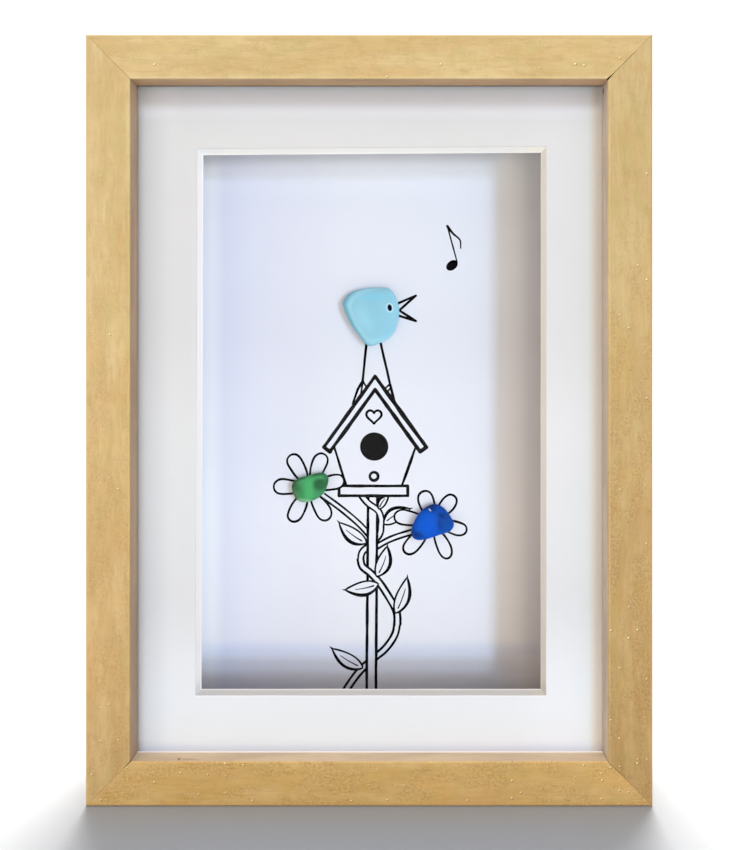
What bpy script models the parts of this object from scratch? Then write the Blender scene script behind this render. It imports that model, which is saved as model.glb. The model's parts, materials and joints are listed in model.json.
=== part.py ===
# Sea glass shadow box: a deep wooden frame that holds glass, a mat, an ink-drawn card
# and three pieces of sea glass on the card.
# Metres, +Z up. The front faces -Y and +X is to the right as seen from the front.
# The origin is under the middle of the bottom rail, on the surface that the frame stands on.

import math

import bmesh
import bpy
from mathutils import Vector

for old_object in list(bpy.data.objects):
    bpy.data.objects.remove(old_object, do_unlink=True)

# Clearances
gap = 0.0003                    # between two pieces that touch
sheet_clearance = 0.0003        # around the edge of every sheet in the rebate

# Sheets: glass, mat, card and backing board all have this outline
sheet_width = 0.210
sheet_height = 0.297

# Rails
rail_face = 0.019               # width of a rail seen from the front
lip_cover = 0.0035              # how far the front lip covers the edge of the glass
lip_depth = 0.008               # from the front face back to the glass
outer_arris_radius = 0.0009
sight_arris_radius = 0.0005
back_arris_radius = 0.0008
arris_steps = 3

# The stack behind the lip, front to back
glazing_thickness = 0.002
mat_thickness = 0.0022
spacer_depth = 0.0235
card_thickness = 0.0015
board_thickness = 0.003
back_recess = 0.0033            # from the backing board to the rails' back face

# Mat window, measured at the front edge of its 45 degree bevel
mat_border_side = 0.028
mat_border_top = 0.0291
mat_border_bottom = 0.0263

spacer_wall = 0.005

# Sea glass. The middle of a piece lies this far right of the card's middle line
# and this far above the card's lower edge.
bird_width = 0.0267
bird_height = 0.0278
bird_thickness = 0.0070
bird_right = -0.0010
bird_above = 0.1951
green_width = 0.0174
green_height = 0.0140
green_thickness = 0.0060
green_right = -0.0300
green_above = 0.1138
blue_width = 0.0203
blue_height = 0.0170
blue_thickness = 0.0065
blue_right = 0.0283
blue_above = 0.0974

# Steel tabs that hold the backing board in
tab_width = 0.008
tab_thickness = 0.0006
tab_bite = 0.0065               # how far a tab goes into its slot
tab_reach = 0.010               # how far it stands out over the board
tab_tip = 0.0030                # length of the point at the bitten end
tab_corner_distance = 0.055     # from the rebate's corner to the middle of the tab

# Sawtooth hanging plate
hanger_length = 0.044
hanger_height = 0.0085
hanger_thickness = 0.0008
hanger_rise = 0.0009            # how far its middle stands off the board
hanger_foot = 0.0075            # flat length at each end
hanger_bend = 0.0020            # length of each bend
hanger_tooth_height = 0.0014
hanger_tooth_count = 11
hanger_drop = 0.030             # from the board's top edge to the plate's top edge

pin_radius = 0.0008
pin_length = 0.0022             # below the plate, into the board
pin_head_radius = 0.0021
pin_head_height = 0.0006

# Worked out from the values above
rebate_wall = rail_face - lip_cover - sheet_clearance
sight_width = sheet_width - 2 * lip_cover
sight_height = sheet_height - 2 * lip_cover
outer_width = sight_width + 2 * rail_face
outer_height = sight_height + 2 * rail_face
sheet_low = rail_face - lip_cover
sheet_middle = sheet_low + sheet_height / 2

glazing_front = lip_depth + gap
mat_front = glazing_front + glazing_thickness + gap
spacer_front = mat_front + mat_thickness + gap
card_front = spacer_front + spacer_depth + gap
board_front = card_front + card_thickness + gap
board_back = board_front + board_thickness
rail_depth = board_back + back_recess
front_y = -rail_depth / 2

tab_front = board_back + gap
slot_front = tab_front - gap
slot_back = tab_front + tab_thickness + gap


def make_material(name, colour, roughness, metallic=0.0, alpha=1.0):
    material = bpy.data.materials.new(name)
    material.use_nodes = True
    shader = material.node_tree.nodes["Principled BSDF"]
    shader.inputs["Base Color"].default_value = (*colour, 1.0)
    shader.inputs["Roughness"].default_value = roughness
    shader.inputs["Metallic"].default_value = metallic
    shader.inputs["Alpha"].default_value = alpha
    return material


def add_object(name, form, material, place=(0, 0, 0), turn=(0, 0, 0), parent=None):
    bmesh.ops.recalc_face_normals(form, faces=form.faces)
    mesh = bpy.data.meshes.new(name)
    form.to_mesh(mesh)
    form.free()
    item = bpy.data.objects.new(name, mesh)
    bpy.context.scene.collection.objects.link(item)
    item.location = place
    item.rotation_euler = turn
    item.parent = parent
    if material:
        mesh.materials.append(material)
    return item


def add_box(form, low, high):
    corners = [
        form.verts.new((x, y, z))
        for x in (low[0], high[0])
        for y in (low[1], high[1])
        for z in (low[2], high[2])
    ]
    for face in ((0, 1, 3, 2), (4, 6, 7, 5), (0, 4, 5, 1), (2, 3, 7, 6), (0, 2, 6, 4), (1, 5, 7, 3)):
        form.faces.new([corners[index] for index in face])


def centred_box(width, depth, height):
    form = bmesh.new()
    add_box(form, (-width / 2, 0, -height / 2), (width / 2, depth, height / 2))
    return form


# A closed outline in the XZ plane, pushed along Y from front to back
def pushed_outline(outline, front, back):
    form = bmesh.new()
    front_ring = [form.verts.new((x, front, z)) for x, z in outline]
    back_ring = [form.verts.new((x, back, z)) for x, z in outline]
    join_rings(form, front_ring, back_ring)
    form.faces.new(front_ring)
    form.faces.new(back_ring)
    return form


def join_rings(form, first, second):
    count = len(first)
    for index in range(count):
        after = (index + 1) % count
        form.faces.new((first[index], first[after], second[after], second[index]))


# A polygon whose corners are rounded, each corner given as (u, v, radius)
def rounded_outline(corners):
    outline = []
    for index, (u, v, radius) in enumerate(corners):
        corner = Vector((u, v))
        if radius == 0:
            outline.append(corner)
            continue
        before = Vector(corners[index - 1][:2])
        after = Vector(corners[(index + 1) % len(corners)][:2])
        arrive = (corner - before).normalized()
        leave = (after - corner).normalized()
        centre = corner - arrive * radius + leave * radius
        for step in range(arris_steps + 1):
            angle = math.pi / 2 * step / arris_steps
            outline.append(centre - leave * radius * math.cos(angle) + arrive * radius * math.sin(angle))
    return outline


def smooth_closed_curve(points, steps):
    curve = []
    count = len(points)
    for index in range(count):
        p0, p1, p2, p3 = (Vector(points[(index + offset) % count]) for offset in (-1, 0, 1, 2))
        for step in range(steps):
            t = step / steps
            curve.append(
                0.5 * (2 * p1 + (p2 - p0) * t + (2 * p0 - 5 * p1 + 4 * p2 - p3) * t ** 2
                       + (3 * p1 - p0 - 3 * p2 + p3) * t ** 3)
            )
    return curve


wood = make_material("pale_wood", (0.72, 0.52, 0.27), 0.55)
clear_glass = make_material("clear_glass", (0.95, 0.97, 0.97), 0.02, alpha=0.2)
mat_board = make_material("white_mat_board", (0.86, 0.86, 0.88), 0.85)
white_strip = make_material("white_spacer_strip", (0.85, 0.85, 0.85), 0.8)
card_paper = make_material("picture_card_paper", (0.78, 0.81, 0.91), 0.85)
hardboard = make_material("hardboard", (0.22, 0.13, 0.07), 0.8)
steel = make_material("zinc_plated_steel", (0.55, 0.55, 0.56), 0.35, metallic=1.0)
brass_plate = make_material("brass_plated_steel", (0.75, 0.58, 0.28), 0.35, metallic=1.0)
turquoise_glass = make_material("turquoise_sea_glass", (0.31, 0.62, 0.78), 0.6)
green_glass = make_material("green_sea_glass", (0.07, 0.36, 0.13), 0.6)
blue_glass = make_material("blue_sea_glass", (0.01, 0.09, 0.55), 0.6)

shadow_box = bpy.data.objects.new("shadow_box", None)
bpy.context.scene.collection.objects.link(shadow_box)

# Rails
# A rail's own frame: X along its length, Y back from the front face, Z inward from its outer edge.
rail_section = rounded_outline([
    (0, 0, outer_arris_radius),
    (0, rail_depth, back_arris_radius),
    (rebate_wall, rail_depth, back_arris_radius),
    (rebate_wall, lip_depth, 0),
    (rail_face, lip_depth, 0),
    (rail_face, 0, sight_arris_radius),
])
mitre_offset = gap / 2 * math.sqrt(2)
half_turn = math.pi
quarter_turn = math.pi / 2
half_width = outer_width / 2
half_height = outer_height / 2
# Name: outer length, length of the sheets along it, place of its outer edge's middle, turn about Y
rail_places = {
    "rail_bottom": (outer_width, sheet_width, (0, front_y, 0), 0),
    "rail_top": (outer_width, sheet_width, (0, front_y, outer_height), half_turn),
    "rail_left": (outer_height, sheet_height, (-half_width, front_y, half_height), quarter_turn),
    "rail_right": (outer_height, sheet_height, (half_width, front_y, half_height), -quarter_turn),
}


def mitred_bar(length):
    form = bmesh.new()
    rings = []
    for side in (-1, 1):
        ring = []
        for inward, back in rail_section:
            along = side * (length / 2 - inward - mitre_offset)
            ring.append(form.verts.new((along, back, inward)))
        rings.append(ring)
    join_rings(form, *rings)
    for ring in rings:
        form.faces.new(ring)
    return form


def tab_offsets(opening):
    along = opening / 2 - tab_corner_distance
    return {"a": -along, "b": along}


def slot_cutter(opening):
    form = bmesh.new()
    for along in tab_offsets(opening).values():
        half_slot = tab_width / 2 + gap
        low = (along - half_slot, slot_front, rebate_wall - tab_bite - gap)
        high = (along + half_slot, slot_back, rebate_wall + tab_bite)
        add_box(form, low, high)
    return form


# The flat steel tab: pointed where it bites, rounded where it lies over the board
def tab_form(along):
    half = tab_width / 2
    bitten_end = rebate_wall - tab_bite
    outline = [
        (along, bitten_end),
        (along + half, bitten_end + tab_tip),
    ]
    round_middle = rebate_wall + tab_reach - half
    for step in range(9):
        angle = math.pi * step / 8
        outline.append((along + half * math.cos(angle), round_middle + half * math.sin(angle)))
    outline.append((along - half, bitten_end + tab_tip))
    return pushed_outline(outline, tab_front, tab_front + tab_thickness)


for rail_name, (length, opening, place, turn) in rail_places.items():
    rail = add_object(rail_name, mitred_bar(length), wood, place, (0, turn, 0), shadow_box)
    cutter = add_object(rail_name + "_slot_guide", slot_cutter(opening), None, parent=rail)
    cutter.hide_render = True
    cutter.display_type = "WIRE"
    slots = rail.modifiers.new("tab_slots", "BOOLEAN")
    slots.operation = "DIFFERENCE"
    slots.object = cutter
    for letter, along in tab_offsets(opening).items():
        tab_name = rail_name.replace("rail", "tab") + "_" + letter
        add_object(tab_name, tab_form(along), steel, place, (0, turn, 0), shadow_box)

# Glass
add_object("glazing", centred_box(sheet_width, glazing_thickness, sheet_height), clear_glass,
           (0, front_y + glazing_front, sheet_middle), parent=shadow_box)


# Mat with a bevelled window: the bevel opens towards the front at 45 degrees
def mat_form():
    form = bmesh.new()
    rings = []
    for back in (0, mat_thickness):
        bevel = back
        outer = (-sheet_width / 2, sheet_width / 2, -sheet_height / 2, sheet_height / 2)
        window = (
            -sheet_width / 2 + mat_border_side + bevel,
            sheet_width / 2 - mat_border_side - bevel,
            -sheet_height / 2 + mat_border_bottom + bevel,
            sheet_height / 2 - mat_border_top - bevel,
        )
        for left, right, low, high in (outer, window):
            corners = ((left, low), (right, low), (right, high), (left, high))
            rings.append([form.verts.new((x, back, z)) for x, z in corners])
    outer_front, window_front, outer_back, window_back = rings
    join_rings(form, outer_front, window_front)
    join_rings(form, outer_back, window_back)
    join_rings(form, outer_front, outer_back)
    join_rings(form, window_front, window_back)
    return form


add_object("mat", mat_form(), mat_board, (0, front_y + mat_front, sheet_middle), parent=shadow_box)

# Spacers: the upper and lower strips run the full width, and the side strips stand between them
spacer_y = front_y + spacer_front
side_spacer_height = sheet_height - 2 * (spacer_wall + gap)
side_spacer_x = sheet_width / 2 - spacer_wall / 2
level_spacer_z = sheet_height / 2 - spacer_wall / 2
for spacer_name, width, height, x, z in (
    ("spacer_top", sheet_width, spacer_wall, 0, level_spacer_z),
    ("spacer_bottom", sheet_width, spacer_wall, 0, -level_spacer_z),
    ("spacer_left", spacer_wall, side_spacer_height, -side_spacer_x, 0),
    ("spacer_right", spacer_wall, side_spacer_height, side_spacer_x, 0),
):
    add_object(spacer_name, centred_box(width, spacer_depth, height), white_strip,
               (x, spacer_y, sheet_middle + z), parent=shadow_box)

# Picture card
add_object("picture_card", centred_box(sheet_width, card_thickness, sheet_height), card_paper,
           (0, front_y + card_front, sheet_middle), parent=shadow_box)

# Sea glass: a tumbled piece with a flat back, a well rounded rim and a slightly domed face.
# An outline is given in shares of the piece's own width and height, clockwise from the left.
bird_outline = (
    (-0.50, 0.17), (-0.40, 0.345), (-0.10, 0.475), (0.24, 0.495), (0.35, 0.43), (0.475, 0.21),
    (0.50, 0.02), (0.43, -0.20), (0.25, -0.41), (0.01, -0.50), (-0.10, -0.45), (-0.36, -0.15),
)
green_outline = (
    (-0.50, 0.05), (-0.40, 0.26), (-0.10, 0.39), (0.15, 0.47), (0.37, 0.49), (0.50, 0.32),
    (0.46, 0.05), (0.35, -0.21), (0.12, -0.41), (-0.16, -0.50), (-0.35, -0.41), (-0.46, -0.20),
)
blue_outline = (
    (-0.50, -0.20), (-0.41, 0.06), (-0.25, 0.34), (0.02, 0.50), (0.25, 0.40), (0.45, 0.11),
    (0.50, -0.06), (0.43, -0.25), (0.16, -0.36), (-0.16, -0.485), (-0.39, -0.485), (-0.485, -0.37),
)
glass_curve_steps = 3
rim_share = 0.24                # how much of the outline's half size the rounded rim takes
rim_steps = 6
face_dome_share = 0.10          # how much of the thickness the domed face adds


def sea_glass_form(outline, width, height, thickness):
    curve = [Vector((x * width, z * height)) for x, z in smooth_closed_curve(outline, glass_curve_steps)]
    middle = sum(curve, Vector((0, 0))) / len(curve)
    rim_front = thickness * face_dome_share
    half_rim = (thickness - rim_front) / 2
    # Each ring is a share of the outline's size and a depth behind the frontmost point
    sections = [((1 - rim_share) / 2, rim_front / 4)]
    for step in range(rim_steps + 1):
        angle = math.pi * (step / rim_steps - 0.5)
        share = 1 - rim_share * (1 - math.cos(angle))
        sections.append((share, rim_front + half_rim * (1 + math.sin(angle))))
    form = bmesh.new()
    rings = []
    for share, depth in sections:
        moved = [middle + (point - middle) * share for point in curve]
        rings.append([form.verts.new((point.x, depth, point.y)) for point in moved])
    for first, second in zip(rings, rings[1:]):
        join_rings(form, first, second)
    face_middle = form.verts.new((middle.x, 0, middle.y))
    for index, corner in enumerate(rings[0]):
        form.faces.new((corner, rings[0][(index + 1) % len(curve)], face_middle))
    form.faces.new(rings[-1])
    return form


def add_sea_glass(name, outline, width, height, thickness, right, above, material):
    place = (right, front_y + card_front - gap - thickness, sheet_low + above)
    form = sea_glass_form(outline, width, height, thickness)
    piece = add_object(name, form, material, place, parent=shadow_box)
    piece.data.shade_smooth()
    piece.data.set_sharp_from_angle(angle=math.radians(60))


add_sea_glass("bird_glass", bird_outline, bird_width, bird_height, bird_thickness,
              bird_right, bird_above, turquoise_glass)
add_sea_glass("green_flower_glass", green_outline, green_width, green_height, green_thickness,
              green_right, green_above, green_glass)
add_sea_glass("blue_flower_glass", blue_outline, blue_width, blue_height, blue_thickness,
              blue_right, blue_above, blue_glass)

# Backing board, with two blind holes for the hanger's pins
board_top = sheet_middle + sheet_height / 2
hanger_z = board_top - hanger_drop - hanger_height / 2
pin_x = hanger_length / 2 - hanger_foot / 2
round_sides = 12


def turned_form(profile):
    form = bmesh.new()
    rings = []
    for radius, y in profile:
        rings.append([
            form.verts.new((
                radius * math.cos(2 * math.pi * side / round_sides), y,
                radius * math.sin(2 * math.pi * side / round_sides),
            ))
            for side in range(round_sides)
        ])
    for first, second in zip(rings, rings[1:]):
        join_rings(form, first, second)
    form.faces.new(rings[0])
    form.faces.new(rings[-1])
    return form


def cut_hole(item, name, radius, low, high, place):
    cutter = add_object(name, turned_form(((radius, low), (radius, high))), None, place)
    cutter.hide_render = True
    cutter.display_type = "WIRE"
    hole = item.modifiers.new(name, "BOOLEAN")
    hole.operation = "DIFFERENCE"
    hole.object = cutter


board = add_object("backing_board", centred_box(sheet_width, board_thickness, sheet_height), hardboard,
                   (0, front_y + board_front, sheet_middle), parent=shadow_box)


# Hanging plate: flat feet, a raised middle and teeth along its lower edge, its feet lying on the board
def hanger_stand_off(x):
    bend_start = hanger_length / 2 - hanger_foot
    share = (bend_start - abs(x)) / hanger_bend
    return hanger_rise * min(max(share, 0), 1)


def hanger_form():
    half = hanger_length / 2
    toothed_half = half - hanger_foot - hanger_bend
    columns = [(-half, 0), (-half + hanger_foot, 0)]
    for step in range(2 * hanger_tooth_count + 1):
        x = -toothed_half + 2 * toothed_half * step / (2 * hanger_tooth_count)
        columns.append((x, hanger_tooth_height if step % 2 else 0))
    columns += [(half - hanger_foot, 0), (half, 0)]
    form = bmesh.new()
    sections = []
    for x, notch in columns:
        near = hanger_stand_off(x)
        far = near + hanger_thickness
        low = notch - hanger_height / 2
        high = hanger_height / 2
        corners = ((x, near, low), (x, far, low), (x, far, high), (x, near, high))
        sections.append([form.verts.new(corner) for corner in corners])
    for first, second in zip(sections, sections[1:]):
        join_rings(form, first, second)
    form.faces.new(sections[0])
    form.faces.new(sections[-1])
    return form


hanger_y = front_y + board_back + gap
hanger = add_object("hanger", hanger_form(), brass_plate, (0, hanger_y, hanger_z), parent=shadow_box)

# Pins: a domed head over the plate and a shank into the board
head_base = hanger_thickness + gap
pin_profile = (
    (pin_radius, -gap - pin_length),
    (pin_radius, head_base),
    (pin_head_radius, head_base),
    (pin_head_radius * 0.8, head_base + pin_head_height * 0.7),
    (pin_head_radius * 0.35, head_base + pin_head_height),
)
clear_radius = pin_radius + gap
hole_bottom = -gap - pin_length - gap
hole_mouth = 2 * hanger_thickness
for side_name, side in (("left", -1), ("right", 1)):
    place = (side * pin_x, hanger_y, hanger_z)
    add_object("hanger_pin_" + side_name, turned_form(pin_profile), brass_plate, place, parent=shadow_box)
    cut_hole(hanger, "plate_hole_" + side_name, clear_radius, -hanger_thickness, hole_mouth, place)
    cut_hole(board, "board_hole_" + side_name, clear_radius, hole_bottom, hole_mouth, place)
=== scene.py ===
# Looks of the sea glass shadow box: a wooden frame, a cut mat and a drawn card with sea glass.
# Sizes are in millimetres in the dictionaries, apart from the stage's, and in metres in the meshes.
import json
import math
import random

import bmesh
import bpy
import numpy as np
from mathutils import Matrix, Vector
from mathutils.geometry import delaunay_2d_cdt
from mathutils.noise import noise as wander

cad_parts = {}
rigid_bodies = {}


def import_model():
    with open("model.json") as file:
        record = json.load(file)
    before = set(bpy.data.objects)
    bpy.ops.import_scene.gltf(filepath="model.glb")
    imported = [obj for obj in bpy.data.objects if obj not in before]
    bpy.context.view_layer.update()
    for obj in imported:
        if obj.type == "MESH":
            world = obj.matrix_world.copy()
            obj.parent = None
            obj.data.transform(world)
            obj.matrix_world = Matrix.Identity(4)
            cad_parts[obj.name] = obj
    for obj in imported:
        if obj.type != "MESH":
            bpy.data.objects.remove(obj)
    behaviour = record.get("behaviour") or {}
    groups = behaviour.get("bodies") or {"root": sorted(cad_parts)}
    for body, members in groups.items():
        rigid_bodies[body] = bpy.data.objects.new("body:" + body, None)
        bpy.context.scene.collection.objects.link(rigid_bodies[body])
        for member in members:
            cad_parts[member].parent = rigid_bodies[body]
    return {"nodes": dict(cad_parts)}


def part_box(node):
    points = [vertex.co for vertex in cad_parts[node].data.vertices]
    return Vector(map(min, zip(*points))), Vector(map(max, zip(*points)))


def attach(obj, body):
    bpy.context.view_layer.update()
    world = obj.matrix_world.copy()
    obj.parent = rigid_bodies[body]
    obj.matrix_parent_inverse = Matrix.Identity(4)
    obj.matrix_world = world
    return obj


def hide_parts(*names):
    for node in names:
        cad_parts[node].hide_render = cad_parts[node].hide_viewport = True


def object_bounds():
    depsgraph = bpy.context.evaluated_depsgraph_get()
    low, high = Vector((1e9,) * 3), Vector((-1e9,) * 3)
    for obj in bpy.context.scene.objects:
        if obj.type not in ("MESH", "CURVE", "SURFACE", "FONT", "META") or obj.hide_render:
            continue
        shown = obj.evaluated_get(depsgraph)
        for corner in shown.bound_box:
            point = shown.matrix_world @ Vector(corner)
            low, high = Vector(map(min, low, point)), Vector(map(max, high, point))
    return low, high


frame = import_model()
cadLow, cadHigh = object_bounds()
nodes = frame["nodes"]
mm = 0.001


# Colours and shader nodes

def paint(colour):
    # the linear colour that a shader takes, from one as a screen shows it, 0 to 255; one number is a grey
    def linear(value):
        value /= 255
        return value / 12.92 if value <= 0.04045 else ((value + 0.055) / 1.055) ** 2.4

    values = colour if isinstance(colour, tuple) else (colour, colour, colour)
    return tuple(linear(value) for value in values) + (1.0,)


def operator(operation, reflected=False):
    # a Python operator that adds a Math node
    def apply(self, other):
        first, second = (other, self) if reflected else (self, other)
        return self.finish.node("ShaderNodeMath", {"operation": operation}, {0: first, 1: second})

    return apply


class Flow:
    # what comes out of a node, ready for sums
    def __init__(self, finish, socket):
        self.finish = finish
        self.socket = socket

    def also(self, name):
        return Flow(self.finish, self.socket.node.outputs[name])  # another output of the same node

    __add__ = operator("ADD")
    __radd__ = operator("ADD", True)
    __sub__ = operator("SUBTRACT")
    __rsub__ = operator("SUBTRACT", True)
    __mul__ = operator("MULTIPLY")
    __rmul__ = operator("MULTIPLY", True)
    __truediv__ = operator("DIVIDE")
    __pow__ = operator("POWER")


class Finish:
    # one material and its nodes; places and sizes in it are in millimetres
    def __init__(self, name):
        self.material = bpy.data.materials.new(name)
        self.material.use_nodes = True
        self.tree = self.material.node_tree
        self.tree.nodes.clear()
        self.place = self.stretch(self.node("ShaderNodeTexCoord", out="Object"), (1000, 1000, 1000))

    def node(self, kind, settings=None, sockets=None, out=0):
        made = self.tree.nodes.new(kind)
        for key, value in (settings or {}).items():
            setattr(made, key, value)
        for key, value in (sockets or {}).items():
            if isinstance(value, Flow):
                self.tree.links.new(value.socket, made.inputs[key])
            else:
                made.inputs[key].default_value = value
        return Flow(self, made.outputs[out]) if len(made.outputs) else None

    def stretch(self, where, by, shift=(0, 0, 0)):
        return self.node("ShaderNodeVectorMath", {"operation": "MULTIPLY_ADD"}, {0: where, 1: by, 2: shift})

    def along(self, name):
        # the place along one axis
        return self.node("ShaderNodeSeparateXYZ", sockets={0: self.place}, out=name)

    def noise(self, size, detail=2.0, roughness=0.5, shift=0.0, waver=0.0):
        # soft random patches; size is one number, or how long a patch is along each axis; waver bends them
        sides = size if isinstance(size, tuple) else (size, size, size)
        where = self.stretch(self.place, tuple(1 / side for side in sides), (shift, shift, shift))
        sockets = {"Vector": where, "Scale": 1.0, "Detail": detail, "Roughness": roughness}
        sockets["Distortion"] = waver
        return self.node("ShaderNodeTexNoise", sockets=sockets)

    def rise(self, value, low, high):
        # 0 up to low, 1 from high on, and a smooth rise between them
        sockets = {"Value": value, "From Min": low, "From Max": high}
        return self.node("ShaderNodeMapRange", {"interpolation_type": "SMOOTHSTEP"}, sockets)

    def blend(self, share, first, second, how="MIX"):
        first, second = (value if isinstance(value, Flow) else paint(value) for value in (first, second))
        settings = {"data_type": "RGBA", "blend_type": how}
        return self.node("ShaderNodeMix", settings, {0: share, 6: first, 7: second}, out=2)

    def tones(self, axis, stops):
        # a colour that changes along one axis: each stop is a place and the colour there
        colour = stops[0][1]
        for (here, _), (there, after) in zip(stops, stops[1:]):
            colour = self.blend(self.rise(self.along(axis), here, there), colour, after)
        return colour

    def spot(self, colour, axes, middle, half, turn, soft, strength, tint):
        # an oval patch of another colour; axes are the two directions that it lies along
        turn = math.radians(turn)
        right, up = self.along(axes[0]) - middle[0], self.along(axes[1]) - middle[1]
        across = (right * math.cos(turn) + up * math.sin(turn)) / half[0]
        along = (up * math.cos(turn) - right * math.sin(turn)) / half[1]
        away = (across * across + along * along) ** 0.5
        share = strength - self.rise(away, 1 - soft, 1 + soft * 0.5) * strength
        return self.blend(share, colour, tint)

    def bump(self, height, depth, strength=1.0):
        # depth in millimetres; an object's coordinates are in metres
        sockets = {"Height": height, "Distance": depth * mm, "Strength": strength}
        return self.node("ShaderNodeBump", sockets=sockets)

    def surface(self, sockets):
        shader = self.node("ShaderNodeBsdfPrincipled", sockets=sockets)
        self.node("ShaderNodeOutputMaterial", sockets={"Surface": shader})
        return self.material


# Meshes

def addObject(name, data):
    made = bpy.data.objects.new(name, data)
    bpy.context.scene.collection.objects.link(made)
    return made


def makePiece(name, slot, points, faces, materials, slots=None, smoothAngle=None, replaces=()):
    mesh = bpy.data.meshes.new(name)
    mesh.from_pydata(points, [], faces)
    piece = addObject(name, mesh)
    for material in materials:
        mesh.materials.append(material)
    if slots:
        mesh.polygons.foreach_set("material_index", slots)
    shape = bmesh.new()
    shape.from_mesh(mesh)
    bmesh.ops.recalc_face_normals(shape, faces=shape.faces)
    shape.to_mesh(mesh)
    shape.free()
    if smoothAngle is not None:
        mesh.shade_smooth()
        mesh.set_sharp_from_angle(angle=math.radians(smoothAngle))
    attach(piece, "root")
    if replaces:
        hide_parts(*replaces)
    return piece


def dressNode(name, material):
    piece = nodes[name]
    piece.data.materials.clear()
    piece.data.materials.append(material)
    return piece


def ringFaces(rings, count, closed=False):
    # the faces between rings of points that lie one after another, count points in each
    faces = []
    for r in range(rings if closed else rings - 1):
        under = (r + 1) % rings
        for k in range(count):
            after = (k + 1) % count
            faces.append((r * count + k, r * count + after, under * count + after, under * count + k))
    return faces


def leftOf(way):
    # one step to the left of a direction
    return Vector((-way.y, way.x)).normalized()


def leftAlong(path, closed=False):
    # each point of a path, and one step to the left there
    for k, point in enumerate(path):
        before = path[k - 1] if closed or k > 0 else point
        after = path[(k + 1) % len(path)] if closed or k < len(path) - 1 else point
        yield point, leftOf(after - before)


def arc(middle, radius, start, end, steps):
    # points on a round corner; the angles are in degrees
    angles = [math.radians(start + (end - start) * k / steps) for k in range(steps + 1)]
    return [(middle[0] + radius * math.cos(a), middle[1] + radius * math.sin(a)) for a in angles]


def smoothPath(points, step, closed=False):
    # a smooth line through the points, with a new point about every step
    count = len(points)
    vectors = [Vector(point) for point in points]
    made = []
    for k in range(count if closed else count - 1):
        if closed:
            a, b, c, d = (vectors[(k + shift) % count] for shift in (-1, 0, 1, 2))
        else:
            b, c = vectors[k], vectors[k + 1]
            a = vectors[k - 1] if k > 0 else b * 2 - c
            d = vectors[k + 2] if k + 2 < count else c * 2 - b
        pieces = max(1, round((c - b).length / step))
        for j in range(pieces):
            t = j / pieces
            made.append((b * 2 + (c - a) * t + (a * 2 - b * 5 + c * 4 - d) * t * t
                         + (b * 3 - a - c * 3 + d) * t * t * t) / 2)
    if not closed:
        made.append(vectors[-1])
    return made


# The rails

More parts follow.
